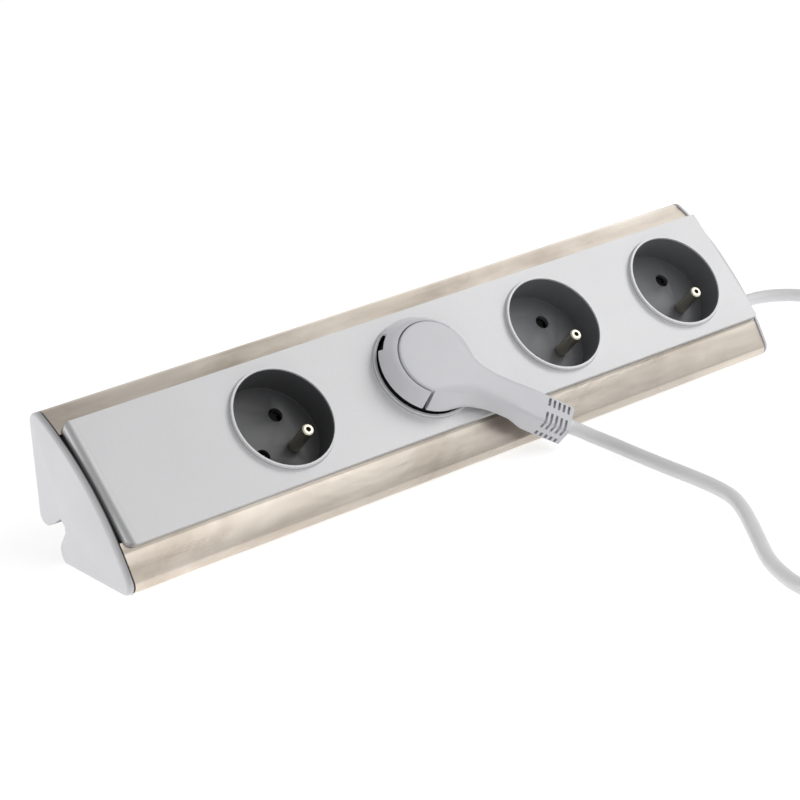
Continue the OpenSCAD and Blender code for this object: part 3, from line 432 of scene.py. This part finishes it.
def moulded(name, low, high, rough, grain=GRAIN_SCALE, height=GRAIN_HEIGHT, coat=0.0, sheen=0.0, specular=0.5):
    """Moulded plastic."""
    s = Surface(name, rough, coat=coat, sheen=sheen, specular=specular)
    s.base(s.mottled(low, high))
    s.grained(rough - 0.05, rough + 0.06, grain, height)
    return s.material


def steel_material():
    """Satin stainless sheet: warm, drawn along X, clouded by rolling in its relief; its colour carries painted
    reflections in clouds and streaks and along the strip, and painted shade where the fascia stands over it.
    """
    s = Surface("satin_steel", 0.3, metallic=1.0, anisotropic=0.35)
    x, v, _ = s.face_place()
    clouds = s.noise(32, stretch=(0.55, 1.5, 1.5), detail=4, rough=0.6, distortion=0.5)
    streaks = s.noise(160, stretch=(0.09, 1, 1), detail=3, rough=0.6)
    # Painted reflections: blotches and streaks in the colour
    reflection_blotches = s.maths("ADD", s.maths("MULTIPLY", clouds, 0.72), s.maths("MULTIPLY", streaks, 0.28))
    colour = s.colours(reflection_blotches, (0.34, (187, 176, 162)), (0.44, (209, 198, 185)), (0.52, (221, 211, 199)),
                       (0.66, (237, 228, 216)))
    # Painted shade: the channel under the fascia, dark at its ends
    channel = s.maths("MAXIMUM", s.stepped(s.maths("ABSOLUTE", v), *CHANNEL_SHADE),
                      s.stepped(s.maths("ABSOLUTE", x), *CHANNEL_END_SHADE))
    upper = s.beyond_middle(v)
    lower = s.maths("SUBTRACT", 1.0, upper)
    # Painted reflections that change each band's tone along the strip
    painted_reflection = s.maths("ADD", s.maths("MULTIPLY", upper, s.stepped(x, *UPPER_PAINTED_REFLECTION)),
                   s.maths("MULTIPLY", lower, s.stepped(x, *LOWER_PAINTED_REFLECTION)))
    s.base(s.scaled(colour, channel, s.stepped(v, *EDGE_SHADE), painted_reflection))
    s.rough(s.ranged(streaks, 0.24, 0.4))
    brushing = s.noise(2400, stretch=(0.02, 1, 1), detail=2)
    s.bump(brushing, 0.000006, after=s.bump(clouds, 0.0008, strength=0.35))
    return s.material


def lacquer_material():
    """Silver lacquered fascia: fine flake under a satin coat, with painted shade by its bead and along its
    edges, and painted light that brightens it to the right.
    """
    s = Surface("silver_lacquer", 0.42, metallic=0.12, coat=0.12)
    x, _, n = s.face_place()
    flake = s.noise(5200, detail=1)
    colour = s.tinted(flake, (215, 215, 217), (228, 228, 229))
    hollow_shade = [(FASCIA_LEFT + place, factor) for place, factor in HOLLOW_SHADE]
    joint = s.maths("MAXIMUM", s.stepped(n, *JOINT_LINE), s.stepped(x, *JOINT_START))
    # Painted shade in the bead's hollow and at the skirt's foot, and painted light along the strip
    s.base(s.scaled(colour, s.stepped(x, *hollow_shade, *FASCIA_PAINTED_LIGHT), s.stepped(n, *SKIRT_FOOT_SHADE), joint))
    s.rough(s.ranged(s.noise(24), 0.38, 0.46))
    s.bump(flake, 0.000004)
    return s.material


def well_material():
    """Dark grey cups, paler towards the right by painted light."""
    s = Surface("well_plastic", 0.4, specular=0.6)
    x, _, _ = s.face_place()
    # Painted light: the colour pales towards the right
    s.base(s.scaled(s.mottled((104, 105, 108), (113, 114, 117)), s.stepped(x, *WELL_PAINTED_LIGHT)))
    s.grained(0.36, 0.44)
    return s.material


def cap_material():
    """Pale end caps, a painted shadow in the seam by the steel, faint at the right, and painted shade on the
    left rim.
    """
    s = Surface("cap_plastic", 0.42)
    x, v, _ = s.face_place()
    half = CAP_SHIFT / 2
    reach = s.maths("SUBTRACT", s.maths("ABSOLUTE", s.maths("SUBTRACT", x, half)), half)
    # Painted shadow in the seam beside the steel, faint at the right
    seam_shadow = s.maths("MAXIMUM", s.stepped(reach, *SEAM_SHADOW), s.beyond_middle(x, RIGHT_SEAM_SHADOW))
    # Painted shade on the rim, kept to the left cap
    rim_shade = s.maths("MAXIMUM", s.stepped(reach, *RIM_SHADE), s.stepped(s.maths("ABSOLUTE", v), *RIM_SHADE_LIMIT))
    left_rim_shade = s.maths("MAXIMUM", rim_shade, s.beyond_middle(x))
    s.base(s.scaled(s.mottled((221, 220, 223), (226, 225, 228)), seam_shadow, left_rim_shade))
    s.grained(0.37, 0.48)
    return s.material


def pin_material():
    """Nickel-plated earth pins, with painted shade in the dimple that the lathe leaves in each tip."""
    s = Surface("nickel", 0.34, metallic=1.0)
    x, v, _ = s.face_place()
    # The pins stand to the right of and below the wells' axes, by the same distance
    off = PIN_OFF / math.sqrt(2)
    first = SOCKET_X[0] / MM + off
    shifted = s.maths("ADD", x, PITCH * 2.5 - first)
    along = s.maths("SUBTRACT", s.maths("MODULO", shifted, PITCH), PITCH / 2)
    across = s.maths("ADD", v, off)
    square = s.maths("ADD", s.maths("MULTIPLY", along, along), s.maths("MULTIPLY", across, across))
    # Painted shade: a dark spot stands for the dimple in each tip
    dimple_shade = s.stepped(s.maths("SQRT", square), *DIMPLE_SHADE)
    s.base(s.scaled(s.tinted(s.noise(METAL_TINT_SCALE), (196, 190, 172), (208, 203, 187)), dimple_shade))
    s.rough(s.ranged(s.noise(METAL_GLOSS_SCALE), 0.3, 0.38))
    return s.material


def metal_material(name, low, high, rough):
    """Bare metal with fine scratches."""
    s = Surface(name, rough, metallic=1.0)
    s.base(s.tinted(s.noise(METAL_TINT_SCALE), low, high))
    s.rough(s.ranged(s.noise(METAL_GLOSS_SCALE), rough - 0.06, rough + 0.08))
    s.bump(s.noise(METAL_SCRATCH_SCALE), 0.000008)
    return s.material


finishes = {
    "steel": steel_material(),
    "fascia": lacquer_material(),
    "cap": cap_material(),
    "cover": moulded("cover_plastic", (190, 190, 192), (200, 200, 202), 0.55, height=0.00005),
    "well": well_material(),
    "pin": pin_material(),
    # Shutters: dark plastic, made near black to paint the shade deep in the contact holes
    "shutter": moulded("shutter_plastic", (10, 10, 11), (15, 15, 16), 0.6, specular=0.2),
    "spring": metal_material("spring_steel", (150, 150, 150), (190, 190, 190), 0.3),
    "brass": metal_material("brass", (186, 148, 74), (214, 176, 96), 0.3),
    "carrier": moulded("carrier_plastic", (134, 136, 140), (148, 150, 154), 0.55),
    "screw": metal_material("zinc", (168, 166, 158), (198, 196, 188), 0.34),
    "block": moulded("block_plastic", (224, 222, 214), (234, 232, 226), 0.5),
    "brown_core": moulded("brown_pvc", (108, 64, 36), (126, 78, 46), 0.45),
    "blue_core": moulded("blue_pvc", (50, 96, 168), (66, 112, 184), 0.45),
    "earth_core": moulded("green_pvc", (92, 156, 64), (112, 176, 80), 0.45),
    "plug_shell": moulded("plug_plastic", (215, 215, 219), (221, 221, 225), 0.4, coat=0.05),
    "plug_insert": moulded("insert_plastic", (48, 49, 52), (58, 59, 62), 0.5),
    "cord": moulded("cord_pvc", (230, 230, 231), (236, 236, 237), 0.38, grain=900, height=0.00004, sheen=0.1),
}


def slot_of(node):
    """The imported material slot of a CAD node."""
    return nodes[node].data.materials[0].name


def stand_in(made, node):
    """Puts a piece in place of a CAD node, on the node's body."""
    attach(made, nodes[node]["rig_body"])
    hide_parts(node)


# Pieces with rounded edges. Points of a CAD node closer than WELD are one, and facets that turn by less than
# FLAT degrees lie in one face
WELD = 1e-6
FLAT = 0.2


def round_edges(target, width, angle):
    """Rounds the edges that turn by more than an angle in degrees."""
    bevel = target.modifiers.new("edges", "BEVEL")
    bevel.width = width
    bevel.segments = 3
    bevel.limit_method = "ANGLE"
    bevel.angle_limit = math.radians(angle)
    bevel.harden_normals = True


def rounded(node, edge, angle, change=None):
    """A copy of a CAD node with flat facets merged, its mesh changed if asked, and its edges rounded."""
    mesh = bpy.data.meshes.new(node + "_shell")
    work = bmesh.new()
    work.from_mesh(nodes[node].data)
    bmesh.ops.remove_doubles(work, verts=work.verts, dist=WELD)
    bmesh.ops.dissolve_limit(work, angle_limit=math.radians(FLAT), verts=work.verts, edges=work.edges)
    if change:
        change(work)
    for face in work.faces:
        face.smooth = True
    work.to_mesh(mesh)
    work.free()
    made = scene_object(node + "_shell", mesh)
    made.data.materials.append(finishes[slot_of(node)])
    round_edges(made, edge, angle)
    stand_in(made, node)


def moved_out(start, end):
    """A change that moves what lies between two places along X outwards, where steel and right cap meet."""
    def change(work):
        for vert in work.verts:
            if start < vert.co.x / MM < end:
                vert.co.x += CAP_SHIFT * MM
    return change


# Moulded plug in its own frame, in millimetres: x along the neck, y across it, z over the socket's rim.
# The head is round until HEAD_TURN degrees, the flare joins it at FLARE_X, and the neck is straight past NECK_X
HEAD_X = 0.7
HEAD_R = 14.9
HEAD_TURN = 84
FLARE_X = 3.6
NECK_X = 34
PLUG_END = 58.0
HEAD_STEPS, FLARE_STEPS, NECK_STEPS, EDGE_STEPS = 48, 34, 12, 6
BEFORE_FLARE = 2.9
# How far along the foot of the flare leans past its top edge, and the length over which it does
LEAN = 3.2
LEAN_RUN = 26
CROWN = 0.12
# Lower rings of the skin, on the flank and round the head: inset under the foot, and rise to the ring above it
INSET_FLANK, INSET_HEAD = 0.9, 0.3
RISE_FLANK, RISE_HEAD = 0.8, 0.4
# The ring half way up: its height round the head, and on the flank its rise and a step where the flare is wide
HEAD_MID_Z = 5
MID_RISE = 1.4
FLARE_STEP = 0.45
FLARE_WIDE = 4
# Rings of the top, by their share of the way to the plug's middle line, which ends short of the neck's end
TOP_SHARES = (0.12, 0.3, 0.5, 0.7, 0.85, 0.96)
SPINE_END = PLUG_END - 3
# Half width of the top face, half width of the flank's foot, height of the underside and of the top, and
# radius of the edge between top and flanks, all along x
TOP_HALF = [(2.3, 14.8), (3.7, 14.3), (5.2, 13.5), (7, 12.4), (9, 11.2), (11.5, 9.9), (14.2, 8.6), (17, 7.5),
            (19.5, 6.8), (23, 6.35), (28, 6.2), (40, 6.3), (58, 6.1)]
FOOT_HALF = [(3.6, 19.4), (5.2, 19), (8, 18), (11, 16.2), (13.5, 14.1), (16, 11.7), (18, 10.1), (20, 8.9),
             (22.5, 7.9), (26, 6.9), (30, 6.5), (36, 6.4), (44, 6.5), (58, 6.2)]
UNDERSIDE = [(5, 2.3), (13, 2.2), (18, 1.2), (23, 0.5), (36, 0.5), (38.5, -0.4), (41, -1.4), (44, -1.6),
             (58, -1.3)]
TOP = [(4, 9.35), (10, 9.2), (16, 8.75), (22, 8.3), (28, 8.05), (40, 8), (58, 7.85)]
EDGE = [(0, 0.6), (4, 0.9), (12, 1.9), (20, 2.6), (34, 2.3), (42, 1.3), (58, 1.1)]


def curve(stops, x):
    """A smooth value at x through (place, value) stops, flat beyond the ends."""
    if x <= stops[0][0]:
        return stops[0][1]
    for k, ((x0, y0), (x1, y1)) in enumerate(zip(stops, stops[1:])):
        if x <= x1:
            before = stops[max(k - 1, 0)]
            after = stops[min(k + 2, len(stops) - 1)]
            m0 = (y1 - before[1]) / (x1 - before[0])
            m1 = (after[1] - y0) / (after[0] - x0)
            t, h = (x - x0) / (x1 - x0), x1 - x0
            return ((2 * t ** 3 - 3 * t * t + 1) * y0 + (t ** 3 - 2 * t * t + t) * h * m0
                    + (3 * t * t - 2 * t ** 3) * y1 + (t ** 3 - t * t) * h * m1)
    return stops[-1][1]


def spread(start, end, steps):
    """Numbers from start to end in even steps."""
    return [start + (end - start) * k / steps for k in range(steps + 1)]


class Station(NamedTuple):
    """A place round the plug: its top edge, its foot, the way inwards, and whether it belongs to the flank."""
    x: float
    y: float
    foot_x: float
    foot_y: float
    inward: Vector
    flank: bool


def plug_stations():
    """Stations along the +y half of the plug, from the back of the head to the end of the neck."""
    turns = [math.radians(a) for a in spread(180, HEAD_TURN, HEAD_STEPS)]
    outline = [(HEAD_X + HEAD_R * math.cos(a), HEAD_R * math.sin(a), False) for a in turns]
    outline += [(x, curve(TOP_HALF, x), False) for x in (BEFORE_FLARE, FLARE_X)]
    outline += [(x, curve(TOP_HALF, x), True)
                for x in spread(FLARE_X, NECK_X, FLARE_STEPS) + spread(NECK_X, PLUG_END, NECK_STEPS)[1:]]
    stations = []
    for k, (x, y, flank) in enumerate(outline):
        before, after = outline[max(k - 1, 0)], outline[min(k + 1, len(outline) - 1)]
        run = Vector((after[0] - before[0], after[1] - before[1], 0)) if k else Vector((0, 1, 0))
        share = (x - FLARE_X) / LEAN_RUN
        foot_x = x + (LEAN * math.sin(math.pi * share) if flank and share < 1 else 0)
        foot_y = curve(FOOT_HALF, foot_x) if flank else y
        stations.append(Station(x, y, foot_x, foot_y, Vector((run.y, -run.x, 0)).normalized(), flank))
    return stations


def top_z(x, y):
    """Height of the plug's top: a little crowned across, and lower towards the back of the head."""
    half = curve(TOP_HALF, x) if x > 2 else HEAD_R
    crown = CROWN * (1 - min(1, (y / half) ** 2))
    fall = CROWN * (x / HEAD_R) ** 2 if x < 0 else 0
    return curve(TOP, x) + crown - fall


def foot(s):
    """The lower edge of the plug's side."""
    return Vector((s.foot_x, s.foot_y, curve(UNDERSIDE, s.foot_x)))


def foot_inset(s):
    return foot(s) + s.inward * (INSET_FLANK if s.flank else INSET_HEAD)


def flank_low(s):
    return foot(s) + Vector((0, 0, RISE_FLANK if s.flank else RISE_HEAD))


def flank_mid(s):
    """Half way up: the head's side is upright, and the flare has a slight step in it."""
    if not s.flank:
        return Vector((s.x, s.y, HEAD_MID_Z))
    flare = min(1, max(0, (s.foot_y - s.y) / FLARE_WIDE))
    return flank_low(s) + Vector((0, -FLARE_STEP * flare, MID_RISE))


def edge(turn):
    """Places on the rounding between flank and top, turned by 0 to 90 degrees."""
    def place(s):
        radius = curve(EDGE, s.x)
        angle = math.radians(turn)
        inset = radius * (1 - math.cos(angle))
        return Vector((s.x, s.y, top_z(s.x, s.y) - radius + radius * math.sin(angle))) + s.inward * inset
    return place


def inside(share):
    """Places on the top, by their share of the way from the rounding to the line along the plug's middle."""
    def place(s):
        start = Vector((s.x, s.y, 0)) + s.inward * curve(EDGE, s.x)
        spine = Vector((max(HEAD_X, min(s.x, SPINE_END)), 0, 0))
        spot = start.lerp(spine, share)
        spot.z = top_z(spot.x, spot.y)
        return spot
    return place


def plug_mesh():
    """One closed skin: the round head runs on into the flat neck, the flare into the neck's sides."""
    stations = plug_stations()
    levels = [foot_inset, foot, flank_low, flank_mid, *[edge(turn) for turn in spread(0, 90, EDGE_STEPS)],
              *[inside(share) for share in TOP_SHARES]]
    rings = []
    for place in levels:
        side = [place(s) for s in stations]
        rings.append(side + [Vector((v.x, -v.y, v.z)) for v in reversed(side[1:])])
    verts, faces, _ = skin(rings)
    size = len(rings[0])
    # The underside and the strip along the spine are closed between mirrored stations
    for start, flip in ((0, True), (len(verts) - size, False)):
        for k in range(len(stations) - 1):
            quad = [start + k, start + k + 1, start + size - k - 1, start + size - k]
            if k == 0:
                quad.pop()
            faces.append(tuple(reversed(quad)) if flip else tuple(quad))
    return verts, faces


def carved(target, prisms):
    """Cuts prisms out of an object: each is (x from, x to, outline in y and z), in the plug's frame."""
    verts, faces = [], []
    for x0, x1, outline in prisms:
        rings = [[PLUG_FRAME @ (Vector((x, y, z)) * MM) for y, z in outline] for x in (x0, x1)]
        more, sides, ends = skin(rings, len(verts))
        verts += more
        faces += sides + ends
    tool = mesh_object("carving", verts, faces, smooth=False)
    cut = target.modifiers.new("cut", "BOOLEAN")
    cut.operation = "DIFFERENCE"
    cut.solver = "EXACT"
    cut.object = tool
    bpy.context.view_layer.update()
    made = bpy.data.meshes.new_from_object(target.evaluated_get(bpy.context.evaluated_depsgraph_get()))
    target.modifiers.clear()
    target.data = made
    bpy.data.objects.remove(tool)


# Pull ring: where its flat ends lie, its gap to the head, and its section as (distance outwards, whether from
# the head's side or from the socket's axis, height)
RING_END = 2.2
RING_GAP = 0.45
RING_STEPS = 72
RING_SECTION = [
    (0, True, 2.3), (0, True, 8.0), (0.08, True, 8.3), (0.3, True, 8.45), (0.6, True, 8.42),
    (16.4, False, 8.0), (17.0, False, 7.35), (17.8, False, 6.3), (18.6, False, 5.05), (19.3, False, 3.85),
    (19.75, False, 3.05), (19.9, False, 2.75), (19.8, False, 2.45), (19.5, False, 2.3),
]


def ring_mesh():
    """The pull ring: its section swept round the head, between flat ends beside the flare."""
    rings = []
    for j in range(RING_STEPS + 1):
        ring = []
        for out, from_head, z in RING_SECTION:
            centre = HEAD_X if from_head else 0
            reach = out + (HEAD_R + RING_GAP if from_head else 0)
            end = math.acos((RING_END - centre) / reach)
            angle = end + (2 * math.pi - 2 * end) * j / RING_STEPS
            ring.append(Vector((reach * math.cos(angle) + centre, reach * math.sin(angle), z)))
        rings.append(ring)
    verts, sides, ends = skin(rings)
    return verts, sides + ends


def dressed(node, verts, faces, prisms):
    """A moulded piece of the plug in place of a CAD node."""
    made = mesh_object(node + "_shell", [PLUG_FRAME @ (v * MM) for v in verts], faces)
    made.data.materials.append(finishes[slot_of(node)])
    carved(made, prisms)
    made.data.set_sharp_from_angle(angle=math.radians(38))
    stand_in(made, node)
    return made


def box_outline(y0, y1, z0, z1):
    return [(y0, z0), (y1, z0), (y1, z1), (y0, z1)]


# The thumb notch lies under the ring's edge away from the neck
THUMB_NOTCH = (-21, -17.6, box_outline(-3.8, 3.8, 1, 4.5))
round_edges(dressed("plug_ring", *ring_mesh(), [THUMB_NOTCH]), 0.35 * MM, 50)

# Slots of the strain relief: one row on the top face, one over its edge, one at the lower edge, and all of
# them again half a turn round the neck's middle line
SLOT_X = [56, 54, 52, 50, 48]
SLOT_HALF = 0.5
SLOT_MIDDLE_Z = 3.25
SLOT_ROWS = [box_outline(1.3, 4.9, 6.3, 9),
             [(-1.4, 6.3), (-1.4, 9), (-7.5, 9), (-7.5, 3.8), (-4.9, 3.8), (-4.9, 6.3)],
             box_outline(-7.5, -4.9, -1.1, 1.3)]
slots = [(x - SLOT_HALF, x + SLOT_HALF,
          [(y * turn, SLOT_MIDDLE_Z + (z - SLOT_MIDDLE_Z) * turn) for y, z in outline])
         for x in SLOT_X for turn in (1, -1) for outline in SLOT_ROWS]
dressed("plug_body", *plug_mesh(), slots)

# Rounding of the CAD pieces' edges, in millimetres, and the two that meet further out at the right
EDGES = {"steel_profile": 0.15, "fascia": 0.35, "end_cap_left": 0.3, "end_cap_right": 0.3, "rear_cover": 0.3,
         "plug_core": 0.3, "cord_gland": 0.25,
         **{f"socket_well_{i}": 0.2 for i in (1, 2, 3, 4)}, **{f"earth_pin_{i}": 0.1 for i in (1, 2, 3, 4)}}
CHANGES = {"steel_profile": moved_out(151, 152.2), "end_cap_right": moved_out(152.2, 153.5)}
for name, width in EDGES.items():
    rounded(name, width * MM, 45 if name == "fascia" else 30, CHANGES.get(name))

# The wide face keeps its own flat shading
bpy.data.objects["fascia_shell"].modifiers.new("normals", "WEIGHTED_NORMAL").keep_sharp = True

# Springs of the free shutters: copies of the CAD springs, each with its own mesh, in the springs' place
for i in (1, 3, 4):
    spring = nodes[f"shutter_spring_{i}"]
    coil = scene_object(f"spring_coil_{i}", spring.data.copy())
    coil.data.materials.clear()
    coil.data.materials.append(finishes[slot_of(spring.name)])
    stand_in(coil, spring.name)
    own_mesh(coil)

for name, node in nodes.items():
    finish = finishes[slot_of(name)]
    node.data.materials.clear()
    node.data.materials.append(finish)
lead.data.materials.append(finishes["cord"])

# Floor and light: the light that comes from all sides, the white that the camera sees behind the strip, and
# the floor's own glow towards the camera, in reflections and towards all else
AMBIENT = 0.38
BACKDROP = 1.02
FLOOR_SEEN, FLOOR_MIRRORED, FLOOR_PLAIN = 0.6, 0.75, 0.36
FLOOR_GREY = (0.8, 0.8, 0.8, 1)
FLOOR_SIDE = 8
corners = [(x * FLOOR_SIDE / 2, y * FLOOR_SIDE / 2, 0) for x, y in ((-1, -1), (1, -1), (1, 1), (-1, 1))]
floor = mesh_object("floor", corners, [(0, 1, 2, 3)])


def floor_material():
    """Pale lit paper, white to the camera and in reflections; it lights what is over it and keeps a shadow."""
    made = bpy.data.materials.new("pale_floor")
    g = Graph(made)
    g.tree.nodes.remove(g.tree.nodes["Principled BSDF"])
    diffuse = g.add("ShaderNodeBsdfDiffuse", {"Color": FLOOR_GREY})

    def glowing(strength):
        glow = g.add("ShaderNodeEmission", {"Color": WHITE, "Strength": strength})
        return g.add("ShaderNodeAddShader", {0: diffuse.outputs[0], 1: glow.outputs[0]}).outputs[0]

    seen = g.by_ray(glowing(FLOOR_PLAIN), glowing(FLOOR_MIRRORED), glowing(FLOOR_SEEN))
    g.feed(g.tree.nodes["Material Output"], {"Surface": seen})
    return made


floor.data.materials.append(floor_material())


def studio_world():
    """Even light, a white backdrop for the camera, and for reflections a room that brightens to the right."""
    world = bpy.data.worlds.new("studio")
    g = Graph(world)
    way = g.tree.nodes.new("ShaderNodeTexCoord").outputs["Generated"]
    x, y, z = g.add("ShaderNodeSeparateXYZ", {0: way}).outputs[:]
    # In front the room is even; overhead and behind, it brightens to the right and to the back
    rightwards = g.ranged(x, -0.26, 0.26, start=0.3, end=0.75)
    backwards = g.ranged(y, 0.04, 0.44, start=0.3, end=0.8)
    upwards = g.ranged(z, 0.78, 0.82, start=-1, end=1)
    not_in_front = g.ranged(y, 0, 1, start=-0.65, end=-0.1)
    uneven = g.maths("MULTIPLY", g.maths("ADD", rightwards, backwards), not_in_front)
    level = g.maths("ADD", upwards, uneven)
    ambient = g.feed(g.tree.nodes["Background"], {"Color": WHITE, "Strength": AMBIENT})
    room = g.add("ShaderNodeBackground", {"Color": WHITE, "Strength": level})
    white = g.add("ShaderNodeBackground", {"Color": WHITE, "Strength": BACKDROP})
    seen = g.by_ray(ambient.outputs[0], room.outputs[0], white.outputs[0])
    g.feed(g.tree.nodes["World Output"], {"Surface": seen})
    return world


bpy.context.scene.world = studio_world()


def softbox(name, place, target, size, power):
    """A square lamp at a place, turned to a target."""
    lamp = bpy.data.lights.new(name, "AREA")
    lamp.shape = "SQUARE"
    lamp.size = size
    lamp.energy = power
    made = scene_object(name, lamp)
    made.location = place
    made.rotation_euler = (Vector(target) - Vector(place)).to_track_quat("-Z", "Y").to_euler()


RIGHT_OF_MIDDLE = (0.05, 0, 0.03)
LEFT_OF_MIDDLE = (-0.1, 0, 0.03)
softbox("right_light", (0.98, -0.48, 0.97), RIGHT_OF_MIDDLE, 0.75, 4.4)
softbox("front_light", (0.5, -1.2, 1.2), RIGHT_OF_MIDDLE, 0.9, 4.5)
softbox("left_light", (-1.0, 0.45, 0.12), LEFT_OF_MIDDLE, 0.5, 3.7)

bpy.context.scene.view_settings.view_transform = "Standard"
